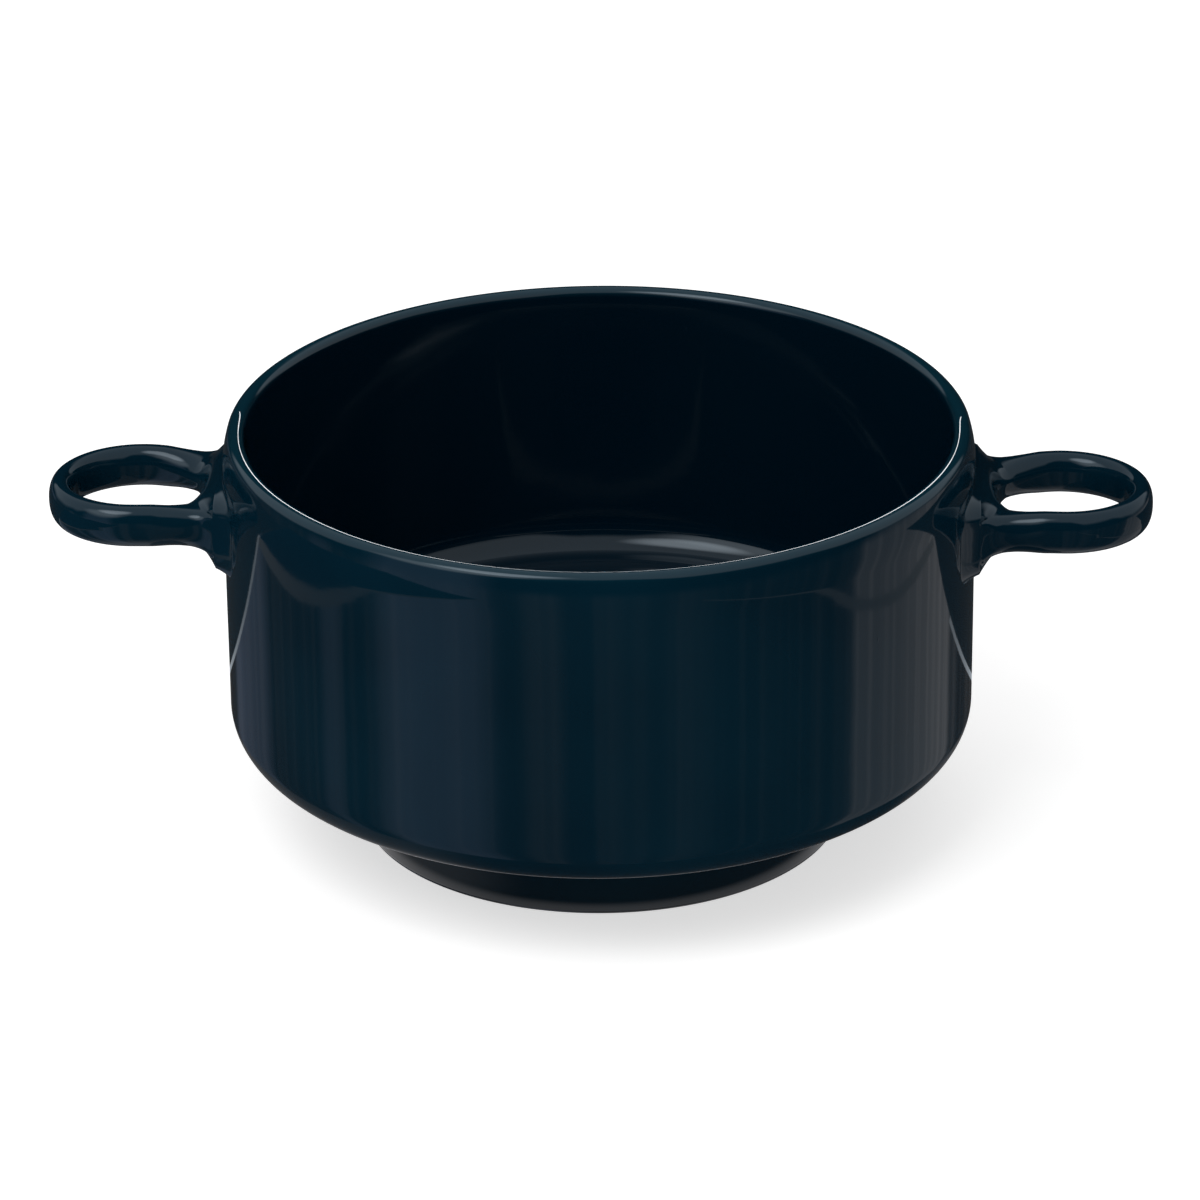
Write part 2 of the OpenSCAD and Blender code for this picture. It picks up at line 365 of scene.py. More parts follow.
def inside(depth, fine):
    """From the crest of the lip down the inside to the middle of the floor."""
    return np.vstack([
        arc((LIP_X, LIP_IN_Z), LIP_IN_R - depth, 90, 180, 8 * fine),
        line((INNER_R + depth, LIP_IN_Z), (INNER_R + depth, FLOOR_Z + FILLET_R), 10 * fine),
        arc((INNER_R - FILLET_R, FLOOR_Z + FILLET_R), FILLET_R + depth, 0, -90, 8 * fine),
        line((INNER_R - FILLET_R, FLOOR_Z - depth), (0, FLOOR_Z - depth), 10 * fine)])


def recess(depth, fine):
    """From the middle of the underside out and down to where the glaze ends inside the foot."""
    side = FOOT_R - FOOT_T
    pool = POOL_R + depth
    edge_x = side + COAT_T + FOOT_EDGE_R
    return np.vstack([
        line((0, FOOT_H + depth), (side - POOL_R, FOOT_H + depth), 8 * fine),
        arc((side - POOL_R, FOOT_H - POOL_R), pool, 90, 0, 4 * fine),
        line((side + depth, FOOT_H - POOL_R), (side + depth, FOOT_EDGE_R), 4 * fine),
        arc((edge_x, FOOT_EDGE_R), FOOT_EDGE_R + COAT_T - depth, 180, 180 + WRAP_A, 3 * fine)])


LEAST_STEP = 1e-6


def without_repeats(points):
    """The points without those that lie on the one before them."""
    step = np.linalg.norm(np.diff(points, axis=0), axis=1)
    return points[np.concatenate([[True], step > LEAST_STEP])]


bowl_outline = without_repeats(np.vstack([
    inside(0, 2)[::-1], outside(0, 2), outside(COAT_T, 1)[::-1], inside(COAT_T, 1)]))
recess_outline = without_repeats(np.vstack([recess(0, 2), recess(COAT_T, 1)[::-1]]))
print("points in the outlines:", len(bowl_outline), "and", len(recess_outline))


# %% The turning tree
TURN_STEPS = 256
WOBBLE = 0.09
WOBBLE_SEED = 3.0
# The wobble's pattern: its scale round the pot, and how fast it changes with height
WOBBLE_SCALE, WOBBLE_CLIMB = 1.7, 26.0
# The wobble grows from nothing to full between these radii, so the middle stays closed
STILL_R, FREE_R = 5, 30
MERGE_REACH = 0.001


def turning_tree():
    tree = bpy.data.node_groups.new("turn_on_wheel", "GeometryNodeTree")
    for name, kind in (
        ("Outline", "NodeSocketGeometry"), ("Steps Round", "NodeSocketInt"),
        ("Wobble", "NodeSocketFloat"), ("Seed", "NodeSocketFloat"), ("Finish", "NodeSocketMaterial")):
        tree.interface.new_socket(name, in_out="INPUT", socket_type=kind)
    tree.interface.new_socket("Pot", in_out="OUTPUT", socket_type="NodeSocketGeometry")
    graph = Graph(tree)
    given = graph.node("NodeGroupInput")
    outline, steps, wobble, seed, finish = (Wire(graph, given.outputs[i]) for i in range(5))
    count = graph.wire("GeometryNodeAttributeDomainSize", {"component": "MESH"}, {0: outline}, 0)
    sheet = graph.wire(
        "GeometryNodeMeshGrid", {}, {"Vertices X": steps + 1.0, "Vertices Y": count})
    index = graph.wire("GeometryNodeInputIndex")
    turn = (index / count).whole() / steps * (2 * math.pi)
    drawn = graph.wire(
        "GeometryNodeSampleIndex", {"data_type": "FLOAT_VECTOR", "domain": "POINT"},
        {"Geometry": outline, "Value": graph.wire("GeometryNodeInputPosition"),
         "Index": index.remainder(count)})
    parts = graph.node("ShaderNodeSeparateXYZ", {}, {0: drawn})
    radius, height = Wire(graph, parts.outputs[0]), Wire(graph, parts.outputs[2])
    # The wobble is read from a slow pattern on the round, so that it closes on itself
    around = graph.wire(
        "ShaderNodeCombineXYZ", {}, {0: turn.cosine(), 1: turn.sine(), 2: height * WOBBLE_CLIMB})
    swim = graph.wire(
        "ShaderNodeTexNoise", {"noise_dimensions": "4D"},
        {"Vector": around, "W": seed, "Scale": WOBBLE_SCALE, "Detail": 1.0})
    reach = radius - swim * wobble * graph.ease(radius, STILL_R * MM, FREE_R * MM)
    placed = graph.wire(
        "ShaderNodeCombineXYZ", {}, {0: reach * turn.cosine(), 1: reach * turn.sine(), 2: height})
    moved = graph.wire("GeometryNodeSetPosition", {}, {"Geometry": sheet, "Position": placed})
    closed = graph.wire(
        "GeometryNodeMergeByDistance", {}, {"Geometry": moved, "Distance": MERGE_REACH * MM})
    smooth = graph.wire("GeometryNodeSetShadeSmooth", {}, {"Geometry": closed})
    real = graph.wire("GeometryNodeRealizeInstances", {}, {"Geometry": smooth})
    dressed = graph.wire("GeometryNodeSetMaterial", {}, {"Geometry": real, "Material": finish})
    graph.node("NodeGroupOutput", {}, {0: dressed})
    return tree


def run_tree(name, mesh, tree, inputs):
    """Runs a tree on a mesh and keeps the result as a plain mesh object."""
    source = bpy.data.objects.new(name + "_source", mesh)
    bpy.context.scene.collection.objects.link(source)
    modifier = source.modifiers.new("tree", "NODES")
    modifier.node_group = tree
    for socket in tree.interface.items_tree:
        if socket.in_out == "INPUT" and socket.name in inputs:
            modifier[socket.identifier] = inputs[socket.name]
    bpy.context.view_layer.update()
    ready = source.evaluated_get(bpy.context.evaluated_depsgraph_get())
    result = bpy.data.meshes.new_from_object(ready)
    bpy.data.objects.remove(source)
    result.name = name
    piece = bpy.data.objects.new(name, result)
    bpy.context.scene.collection.objects.link(piece)
    return piece


def volume_of(mesh):
    """Signed volume in cubic millimetres. It is positive where the faces point outwards."""
    mesh.calc_loop_triangles()
    corners = np.array([v.co for v in mesh.vertices])[
        np.array([t.vertices for t in mesh.loop_triangles])]
    return float(np.einsum("ij,ij->i", corners[:, 0], np.cross(corners[:, 1], corners[:, 2])).sum()
                 / 6 / MM**3)


def turn_outward(piece):
    if volume_of(piece.data) < 0:
        piece.data.flip_normals()
    print(f"{piece.name}: {len(piece.data.polygons)} faces, {volume_of(piece.data):.0f} mm3")


def turned_piece(name, outline):
    mesh = bpy.data.meshes.new(name + "_outline")
    points = [(x * MM, 0.0, z * MM) for x, z in outline]
    mesh.from_pydata(points, [(i, i + 1) for i in range(len(points) - 1)], [])
    piece = run_tree(name, mesh, turning, {
        "Steps Round": TURN_STEPS, "Wobble": WOBBLE * MM, "Seed": WOBBLE_SEED, "Finish": glaze})
    turn_outward(piece)
    return piece


turning = turning_tree()
bowl_coat = turned_piece("bowl_coat", bowl_outline)
recess_coat = turned_piece("recess_coat", recess_outline)

# %% [markdown]
# ## The handles
#
# Each handle is a rolled ring of clay, pressed flat where it meets the wall and smoothed in with
# a finger. A torus would miss that neck. So the ring is drawn as a closed run of sections round
# the finger hole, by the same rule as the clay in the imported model: round at the outer end, and
# opening into a broad root at the wall. Beyond the root a skirt of glaze spreads over the joining
# slip and runs out on the wall. Smoothing then does what the melting glaze did in the kiln.

# %% Sizes of a handle
# The finger hole, the clay round it and how far below the crest of the lip it lies
FINGER_L = 22.4
FINGER_W = 20.8
WEB_T = 2.9
RING_END_T = 3.9
RING_SIDE_T = 4.7
RING_H = 7.2
HANDLE_DROP = 14.0
# The root on the wall, and the curve from the ring's side to the root's corner
ROOT_W = 28.4
NECK_DROP = 0.6
ROOT_RISE = 5.4
ROOT_FALL = 7.5
CORNER_SHARE = 0.5
FLARE_REACH = 7.5
SIDE_PULL = 8.0
ROOT_PULL = 2.0
SLIP_T = 0.9
# Round the ring from its outer end, in degrees: where it flares, where the root's corner is, and
# over how many degrees before the corner the section opens. Then how square each curve is.
FLARE_A, CORNER_A, OPENING_A = 94, 138, 30
SECTION_POWER, ROOT_POWER, FLARE_POWER = 2.3, 3, 1.7
ROOT_HEADING = np.array([-0.95, 0.3])

SEAT_X = BOWL_R - COAT_T + SLIP_T
HANDLE_Z = BOWL_H - HANDLE_DROP
RING_X = SEAT_X + WEB_T + FINGER_L / 2
HALF_ROOT = ROOT_W / 2

# How much the coat swells at the root, in its middle and at its sides, and how far out
SWELL_TOP, SWELL_SIDE, SWELL_REACH = 0.65, 0.95, 4.5
# The least length that a swelling direction is divided by, so that it fades where X leads
LEAST_ACROSS = 0.5
# The skirt's slopes, how much of them counts upwards, and how deep its edge sinks in the wall
START_SLOPE, FALL_SLOPE, FALL_UPRIGHT = 0.7, 0.7, 0.5
SINK = 0.12
# Rounds that even out the skirt's directions, and where the fan that closes it has its middle
EVEN_ROUNDS = 4
FAN_IN, FAN_DOWN = 1.2, 1.0
# The melting: its rounds and strength, then the distances from the root over which it grows to
# full, stays full and fades
MELT_ROUNDS, MELT_SHARE = 48, 0.5
MELT_GROWTH, MELT_FULL, MELT_FADE = 1.6, 5, 6
# How far melting may sink the coat, far from the root and at it, and over what distance that grows
SINK_LIMIT, SINK_AT_ROOT, SINK_RAMP = 0.3, 0.05, 3.0
RING_STEPS, SECTION_STEPS, SIDE_STEPS, SKIRT_STEPS = 240, 44, 9, 12
print(f"finger hole {FINGER_L} by {FINGER_W} mm, root {ROOT_W} mm wide")


# %% Sections of a handle
def smooth_step(share):
    share = np.clip(share, 0, 1)
    return share * share * (3 - 2 * share)


def signed_power(value, exponent):
    return np.sign(value) * np.abs(value) ** exponent


def ring_edge(a):
    a = math.radians(a)
    return np.array([RING_X + (FINGER_L / 2 + RING_END_T) * math.cos(a),
                     (FINGER_W / 2 + RING_SIDE_T) * math.sin(a)])


def side_curve(share):
    """From the side of the ring out to the corner of the root, as a Bezier curve."""
    a = math.radians(FLARE_A)
    heading = np.array([-(FINGER_L / 2 + RING_END_T) * math.sin(a),
                        (FINGER_W / 2 + RING_SIDE_T) * math.cos(a)])
    start, corner = ring_edge(FLARE_A), np.array([SEAT_X, HALF_ROOT])
    pulled = [start, start + SIDE_PULL * heading / np.linalg.norm(heading),
              corner - ROOT_PULL * ROOT_HEADING, corner]
    weights = [math.comb(3, k) * share**k * (1 - share) ** (3 - k) for k in range(4)]
    return sum(w * p for w, p in zip(weights, pulled))


def root_y(a):
    return HALF_ROOT * math.cos(math.radians(90 * (a - CORNER_A) / (180 - CORNER_A)))


def root_share(y):
    """How much of the root's full height is left at a place across the wall."""
    left = max(0.0, 1 - min(1.0, abs(y) / HALF_ROOT) ** ROOT_POWER) ** (1 / ROOT_POWER)
    return CORNER_SHARE + (1 - CORNER_SHARE) * left


def outer_edge(a):
    if a <= FLARE_A:
        return ring_edge(a)
    if a <= CORNER_A:
        return side_curve((a - FLARE_A) / (CORNER_A - FLARE_A))
    return np.array([SEAT_X, root_y(a)])


def section(a):
    """One section, from the edge of the finger hole out and round, as points in space."""
    half_step = np.pi / SECTION_STEPS
    t = np.append(half_step * (2 * np.arange(SECTION_STEPS) + 1),
                  2 * np.pi + half_step * np.linspace(-1, 1, SIDE_STEPS + 2)[1:-1])
    flat = math.radians(a)
    inner = np.array([RING_X + FINGER_L / 2 * math.cos(flat), FINGER_W / 2 * math.sin(flat)])
    bend = 2 / SECTION_POWER
    reach = np.minimum(1, signed_power(np.cos(t), bend) / math.cos(half_step) ** bend)
    place = inner + (outer_edge(a) - inner) * ((1 + reach) / 2)[:, None]
    opening = np.where(np.cos(t) > 0, smooth_step((a - CORNER_A + OPENING_A) / OPENING_A), 0)
    straight = np.clip(np.sin(t) / math.sin(half_step), -1, 1)
    rounding = (1 - opening) * signed_power(np.sin(t), bend) + opening * straight
    off_root = np.maximum(0, place[:, 0] - SEAT_X)
    flare = np.maximum(0, 1 - off_root / FLARE_REACH) ** FLARE_POWER if a > FLARE_A else 0 * t
    middle = HANDLE_Z - NECK_DROP * smooth_step(1 - off_root / (RING_X - SEAT_X))
    root = np.where(np.sin(t) > 0, ROOT_RISE, ROOT_FALL) * root_share(root_y(max(a, CORNER_A)))
    height = (1 - flare) * RING_H / 2 + flare * root
    return np.column_stack([place, middle + height * rounding])


# %% Handle mesh
def handle_points():
    """The ring's sections, one after the other round the finger hole."""
    rows = []
    for i in range(RING_STEPS):
        turn = 360 * i / RING_STEPS
        row = section(turn if turn <= 180 else 360 - turn)
        if turn > 180:
            row[:, 1] *= -1
        rows.append(row)
    return np.array(rows)


def wall_x(y, sink):
    return np.sqrt((BOWL_R - sink) ** 2 - y**2)


def swollen(points, faces):
    """Close to the wall the coat grows thicker, so that it hides the edge of the slip."""
    side = (points[:, 1] / HALF_ROOT) ** 2
    near = np.maximum(0, 1 - (points[:, 0] - SEAT_X) / SWELL_REACH) ** 2
    across = corner_normals(points, faces) * (0, 1, 1)
    across /= np.maximum(np.linalg.norm(across, axis=1), LEAST_ACROSS)[:, None]
    return points + (near * (SWELL_TOP + (SWELL_SIDE - SWELL_TOP) * side))[:, None] * across


def away_from(rim):
    """At each point of the root's outline, the direction that leads away from it on the wall."""
    ahead = np.roll(rim, -1, 0) - rim
    out = np.column_stack([0 * rim[:, 0], -ahead[:, 2], ahead[:, 1]])
    out /= np.linalg.norm(out, axis=1)[:, None]
    for _ in range(EVEN_ROUNDS):
        out = np.roll(out, 1, 0) + 2 * out + np.roll(out, -1, 0)
        out /= np.linalg.norm(out, axis=1)[:, None]
    return out if (out * (rim - rim.mean(0))).sum() > 0 else -out


def handle_mesh():
    """The ring's sections and a skirt round the root, as one closed surface."""
    rows = handle_points()
    first = math.ceil(CORNER_A * RING_STEPS / 360)
    last = RING_STEPS - first
    columns = SECTION_STEPS + SIDE_STEPS
    # Where the root meets the wall the sections are open, so they have no points on that side
    used = np.ones((RING_STEPS, columns), bool)
    used[first + 1:last, SECTION_STEPS:] = False
    number = np.cumsum(used).reshape(used.shape) - 1
    faces = [
        tuple(int(number[a % RING_STEPS, b % columns])
              for a, b in ((i, j), (i, j + 1), (i + 1, j + 1), (i + 1, j)))
        for i in range(RING_STEPS) for j in range(columns)
        if not (first <= i < last and j >= SECTION_STEPS - 1)]
    points = swollen(rows[used], faces)
    ring = [number[i, 0] for i in range(first, last + 1)]
    ring += [number[last, SECTION_STEPS + k] for k in reversed(range(SIDE_STEPS))]
    ring += [number[i, SECTION_STEPS - 1] for i in range(last, first - 1, -1)]
    ring += [number[first, SECTION_STEPS + k] for k in range(SIDE_STEPS)]
    rim = points[ring]
    # The skirt curves off the root's sides and runs out on the wall, like a fillet
    out = away_from(rim)
    for k in range(1, SKIRT_STEPS + 1):
        turn = math.pi / 2 * k / SKIRT_STEPS
        drop = SEAT_X - wall_x(rim[:, 1], SINK)
        spread = drop * (START_SLOPE * math.sin(turn) + FALL_SLOPE * (1 - math.cos(turn)))
        place = rim + spread[:, None] * out * (1, 1, FALL_UPRIGHT)
        wall = wall_x(place[:, 1], SINK)
        place[:, 0] = wall + (SEAT_X - wall) * (1 - math.sin(turn))
        fresh = list(range(len(points), len(points) + len(rim)))
        points = np.vstack([points, place])
        faces += [(ring[n], ring[(n + 1) % len(rim)], fresh[(n + 1) % len(rim)], fresh[n])
                  for n in range(len(rim))]
        ring = fresh
    centre = len(points)
    middle = [SEAT_X - FAN_IN, 0.0, HANDLE_Z - NECK_DROP - FAN_DOWN]
    points = np.vstack([points, [middle]])
    faces += [(ring[n], ring[(n + 1) % len(rim)], centre) for n in range(len(rim))]
    faces = [tuple(int(corner) for corner in face) for face in faces]
    return points, faces


def corner_normals(points, faces):
    """The outward direction at each point, from the faces round it."""
    total = np.zeros_like(points)
    for size in {len(f) for f in faces}:
        group = np.array([f for f in faces if len(f) == size])
        a, b = points[group[:, 2]] - points[group[:, 0]], points[group[:, -1]] - points[group[:, 1]]
        for k in range(size):
            np.add.at(total, group[:, k], np.cross(a, b))
    total *= np.sign((points * total).sum())
    return total / np.maximum(np.linalg.norm(total, axis=1), 1e-12)[:, None]


def melt(points, faces):
    """Moves each point part of the way to the middle of its neighbours, most of all at the neck.
    Glaze can fill a hollow freely, but it may sink only part of its thickness into the clay. The
    root's outline and its skirt stay, because the edge of the slip lies close under them."""
    start, facing = points, corner_normals(points, faces)
    pairs = np.array([
        (f[k], f[(k + 1) % len(f)]) for f in faces for k in range(len(f))])
    pairs = np.vstack([pairs, pairs[:, ::-1]])
    pairs = np.unique(pairs, axis=0)
    count = np.bincount(pairs[:, 0], minlength=len(points))[:, None]
    off_root = points[:, :1] - SEAT_X
    fading = 1 - smooth_step((off_root - MELT_FULL) / MELT_FADE)
    share = MELT_SHARE * fading * smooth_step(off_root / MELT_GROWTH)
    limit = SINK_AT_ROOT + (SINK_LIMIT - SINK_AT_ROOT) * smooth_step(off_root[:, 0] / SINK_RAMP)
    for _ in range(MELT_ROUNDS):
        total = np.zeros_like(points)
        np.add.at(total, pairs[:, 0], points[pairs[:, 1]])
        points = points + share * (total / count - points)
    sunk = -((points - start) * facing).sum(1)
    allowed = np.where(sunk > 0, limit * np.tanh(np.maximum(sunk, 0) / limit), sunk)
    return points + (sunk - allowed)[:, None] * facing


def handle_coat(name, side):
    points, faces = handle_mesh()
    points = melt(points, faces)
    points[:, 0] *= side
    mesh = bpy.data.meshes.new(name)
    mesh.from_pydata((points * MM).tolist(), [], faces)
    mesh.polygons.foreach_set("use_smooth", [True] * len(mesh.polygons))
    mesh.materials.append(handle_glaze)
    piece = bpy.data.objects.new(name, mesh)
    bpy.context.scene.collection.objects.link(piece)
    turn_outward(piece)
    return piece


right_coat = handle_coat("right_handle_coat", 1)
left_coat = handle_coat("left_handle_coat", -1)

# %% [markdown]
# ## Putting the pieces on the frame
#
# Nothing on a crock moves, so every piece rides on the one body. Each coat hides the solids of
# the imported model that it stands for, and says which they are.

# %% Ride and replace
for piece, nodes in (
    (bowl_coat, ["lining_glaze", "outer_glaze"]),
    (recess_coat, ["base_glaze"]),
    (left_coat, ["left_handle_glaze"]),
    (right_coat, ["right_handle_glaze"])):
    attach(piece, "root")
    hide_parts(*nodes)
    print(f"{piece.name} stands for {', '.join(nodes)}")

# %% [markdown]
# ## The studio
#
# A glossy dark pot is a mirror: most of what it shows is the room. So the room is built in two
# halves. Lamps, a grey world and a pale floor give the light and the soft shadow. Round them
# stands a dome that only reflections see. The rim and the handles are curved, and each place on
# them mirrors another direction, so the room can be read off the photograph: a white tent
# overhead, a soft box up on the left, a dark gap where the camera stands, a pale screen on the
# right, a bluish window low on the left and a few narrow strips. They are drawn on the dome.

# %% Floor and background
def backdrop_rays(graph):
    """1 for rays that should see the plain white background."""
    seen = graph.node("ShaderNodeLightPath")
    camera, glossy, through = (
        Wire(graph, seen.outputs[name])
        for name in ("Is Camera Ray", "Is Glossy Ray", "Is Transmission Ray"))
    return graph.ease(camera + glossy + through, 0.0, 0.5)


def stage_mesh(name, points, faces, material):
    mesh = bpy.data.meshes.new(name)
    mesh.from_pydata([tuple(point) for point in points], [], faces)
    mesh.materials.append(material)
    card = bpy.data.objects.new(name, mesh)
    bpy.context.scene.collection.objects.link(card)
    card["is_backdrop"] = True
    return card


FLOOR_HALF = 3.0  # the studio's floor, dome and lamps are in metres
PAPER_GREY, PAPER_GLOW = 0.80, 0.62
WORLD_GREY = 0.40

paper_finish, graph = new_finish("pale_paper")
paper = graph.wire("ShaderNodeBsdfDiffuse", {}, {"Color": (PAPER_GREY,) * 3 + (1.0,)})
glow = graph.wire(
    "ShaderNodeEmission", {}, {"Color": (1, 1, 1, 1), "Strength": backdrop_rays(graph) * PAPER_GLOW})
lit = graph.wire("ShaderNodeAddShader", {}, {0: paper, 1: glow})
graph.node("ShaderNodeOutputMaterial", {}, {0: lit})
floor_corners = [(x * FLOOR_HALF, y * FLOOR_HALF, 0) for x, y in ((-1, -1), (1, -1), (1, 1), (-1, 1))]
floor = stage_mesh("floor", floor_corners, [(0, 1, 2, 3)], paper_finish)
floor.visible_glossy = False  # reflections see the table and the dome instead

world = bpy.data.worlds.new("studio")
bpy.context.scene.world = world
world.use_nodes = True
world.node_tree.nodes.clear()
graph = Graph(world.node_tree)
sky = graph.wire(
    "ShaderNodeBackground", {},
    {"Color": (1, 1, 1, 1), "Strength": backdrop_rays(graph) * (1 - WORLD_GREY) + WORLD_GREY})
graph.node("ShaderNodeOutputWorld", {}, {0: sky})
print(f"floor {2 * FLOOR_HALF:.0f} m wide under a world of {WORLD_GREY:.2f} grey")


# %% The room that reflections see
def only_in_reflections(card):
    card.visible_camera = False
    card.visible_diffuse = False
    card.visible_transmission = False
    card.visible_volume_scatter = False
    card.visible_shadow = False
    card.data.materials[0].cycles.emission_sampling = "NONE"


def band(graph, value, low, high, soft):
    """1 from low to high and 0 outside, with soft edges."""
    return (graph.ease(value, low - soft, low + soft)
            * (1.0 - graph.ease(value, high - soft, high + soft)))


def glow_output(graph, light):
    shader = graph.wire("ShaderNodeEmission", {}, {"Color": light, "Strength": 1.0})
    graph.node("ShaderNodeOutputMaterial", {}, {0: shader})


def tinted(graph, strength, tint):
    """A colour of the given tint, scaled by a number."""
    return graph.wire(
        "ShaderNodeVectorMath", {"operation": "SCALE"}, {0: tint, "Scale": strength})


def add_lights(graph, lights):
    total = lights[0]
    for light in lights[1:]:
        total = graph.wire("ShaderNodeVectorMath", {"operation": "ADD"}, {0: total, 1: light})
    return total


def heading(azimuth, rise):
    """A direction. Azimuth 0 is towards the camera, and plus is to the camera's right."""
    a, b = math.radians(azimuth), math.radians(rise)
    return (math.sin(a) * math.cos(b), -math.cos(a) * math.cos(b), math.sin(b))


# The soft box and the paler light under it: where they are, and how bright
KEY_HEADING, KEY_SKIRT_HEADING = heading(-39, 55), heading(-48, 34)
KEY_GLOW, KEY_SKIRT_GLOW = 2.8, 0.9
# From which azimuth to which each shape stands, and how soft its ends are, all in degrees
SCREEN = (84.0, 136.0, 2.0)
WINDOW = (-66.0, -32.0, 7.0)
LEFT_STRIP = (-91.0, -83.0, 3.0)
FRONT_STRIP = (-20.0, -9.0, 2.5)
BACK_STRIP = (-150.0, -120.0, 4.0)
# How bright each of them is, then the glow from straight below and the least light anywhere
SCREEN_GLOW, WINDOW_GLOW = 0.25, 0.20
LEFT_STRIP_GLOW, FRONT_STRIP_GLOW, BACK_STRIP_GLOW = 0.08, 0.07, 0.09
LOW_GLOW, LEAST_GLOW = 0.35, 0.006
# The tent ends at this rise, in degrees, and fades out over so many above it
TENT_GLOW, TENT_EDGE, TENT_FADE = 0.56, 3.0, 16.0
# Where its edge dips on each side, and how far down
RIGHT_DIP, RIGHT_DROP = (88.0, 125.0, 8.0), 8.0
LEFT_DIP, LEFT_DROP = (-125.0, -92.0, 8.0), 6.0
# How much higher its edge is on the camera's side, right over the camera and behind the crock
FRONT_LIFT, CAMERA_LIFT, BACK_LIFT = 13.0, 18.0, 31.0
OVER_CAMERA = (-17.0, 19.0, 10.0)
COOL_WHITE, PLAIN_WHITE, WINDOW_BLUE = (0.86, 1.0, 1.11), (1.0, 0.98, 1.0), (0.8, 1.0, 1.5)


def azimuth_and_rise(graph):
    parts = graph.node("ShaderNodeSeparateXYZ", {}, {0: object_place(graph)})
    x, y, z = (Wire(graph, parts.outputs[i]) for i in range(3))
    degrees = 180 / math.pi
    flat = x.sum("SQRT", x * x + y * y)
    return x.sum("ARCTAN2", x, y * -1.0) * degrees, x.sum("ARCTAN2", z, flat) * degrees


def dome_finish():
    """Light by direction, as the crock's curves showed it."""
    material, graph = new_finish("room")
    azimuth, rise = azimuth_and_rise(graph)
    aside = azimuth.sum("ABSOLUTE", azimuth)
    to_place = graph.wire(
        "ShaderNodeVectorMath", {"operation": "NORMALIZE"}, {0: object_place(graph)})

    def spot(aim, inner, outer):
        toward = graph.wire(
            "ShaderNodeVectorMath", {"operation": "DOT_PRODUCT"}, {0: to_place, 1: aim}, 1)
        return graph.ease(toward, math.cos(math.radians(outer)), math.cos(math.radians(inner)))

    def stripes(scale, low, high):
        pattern = graph.wire(
            "ShaderNodeTexNoise", {"noise_dimensions": "1D"},
            {"W": azimuth, "Scale": scale, "Detail": 2.0})
        return graph.ease(pattern, low, high)

    broad, fine = stripes(0.055, 0.42, 0.72), stripes(0.30, 0.45, 0.75)
    below = 1.0 - graph.ease(rise, -6.0, 2.0)
    edge = TENT_EDGE + FRONT_LIFT * (1.0 - graph.ease(aside, 66.0, 80.0))
    edge = edge - RIGHT_DROP * band(graph, azimuth, *RIGHT_DIP)
    edge = edge - LEFT_DROP * band(graph, azimuth, *LEFT_DIP)
    edge = edge + CAMERA_LIFT * band(graph, azimuth, *OVER_CAMERA)
    edge = edge + BACK_LIFT * graph.ease(aside, 140.0, 156.0)
    tent = graph.ease(rise, edge, edge + TENT_FADE) * TENT_GLOW
    key = spot(KEY_HEADING, 6, 19) * KEY_GLOW + spot(KEY_SKIRT_HEADING, 8, 25) * KEY_SKIRT_GLOW
    screen = band(graph, azimuth, *SCREEN) * below * (SCREEN_GLOW + 0.08 * fine)
    window = band(graph, azimuth, *WINDOW) * (1.0 - graph.ease(rise, 10.0, 26.0)) * WINDOW_GLOW
    left_strip = band(graph, azimuth, *LEFT_STRIP) * below * LEFT_STRIP_GLOW
    front_strip = band(graph, azimuth, *FRONT_STRIP) * below * FRONT_STRIP_GLOW
    back_strip = band(graph, azimuth, *BACK_STRIP) * below * BACK_STRIP_GLOW
    # Faint stripes and a glow from straight below keep the lower half from going black
    dim = below * (0.025 + 0.05 * broad + 0.03 * fine)
    low_glow = graph.ease(rise * -1.0, 48.0, 78.0) * LOW_GLOW
    glow_output(graph, add_lights(graph, [
        tinted(graph, tent + key, COOL_WHITE),
        tinted(graph, screen + low_glow, PLAIN_WHITE),
        tinted(graph, window + left_strip + back_strip, WINDOW_BLUE),
        tinted(graph, dim + front_strip + LEAST_GLOW, PLAIN_WHITE)]))
    return material


DOME_R = 2.6
DOME_STEPS = 48
dome_points = [
    (DOME_R * math.sin(a) * math.cos(b), DOME_R * math.sin(a) * math.sin(b), DOME_R * math.cos(a))
    for a in (math.pi * i / (DOME_STEPS // 2) for i in range(DOME_STEPS // 2 + 1))
    for b in (2 * math.pi * k / DOME_STEPS for k in range(DOME_STEPS))]
dome_faces = [
    (i * DOME_STEPS + k, i * DOME_STEPS + (k + 1) % DOME_STEPS,
     (i + 1) * DOME_STEPS + (k + 1) % DOME_STEPS, (i + 1) * DOME_STEPS + k)
    for i in range(DOME_STEPS // 2) for k in range(DOME_STEPS)]
only_in_reflections(stage_mesh("dome", dome_points, dome_faces, dome_finish()))
print(f"dome: {2 * DOME_R:.1f} m across, {len(dome_faces)} faces")


# %% The table that reflections see
# The floor hides from reflections, so a round plate just above it stands for the table near the
# foot, and flat strips beyond it draw thin lines on the wall.
PLATE_R, PLATE_H, PLATE_STEPS = 78, 0.6, 64
STRIP_H = 0.4
# Over which radii the light round the foot fades out, and that under the overhang
CONTACT_FADE, OVERHANG_FADE = (42, 45), (46, 60)
# The darker side of the plate, and how bright it is there, how much more elsewhere and at the foot
SHADED_SIDE = (-28.0, 78.0, 12.0)
SHADED_GLOW, OPEN_GAIN, CONTACT_GLOW = 0.04, 0.14, 0.62


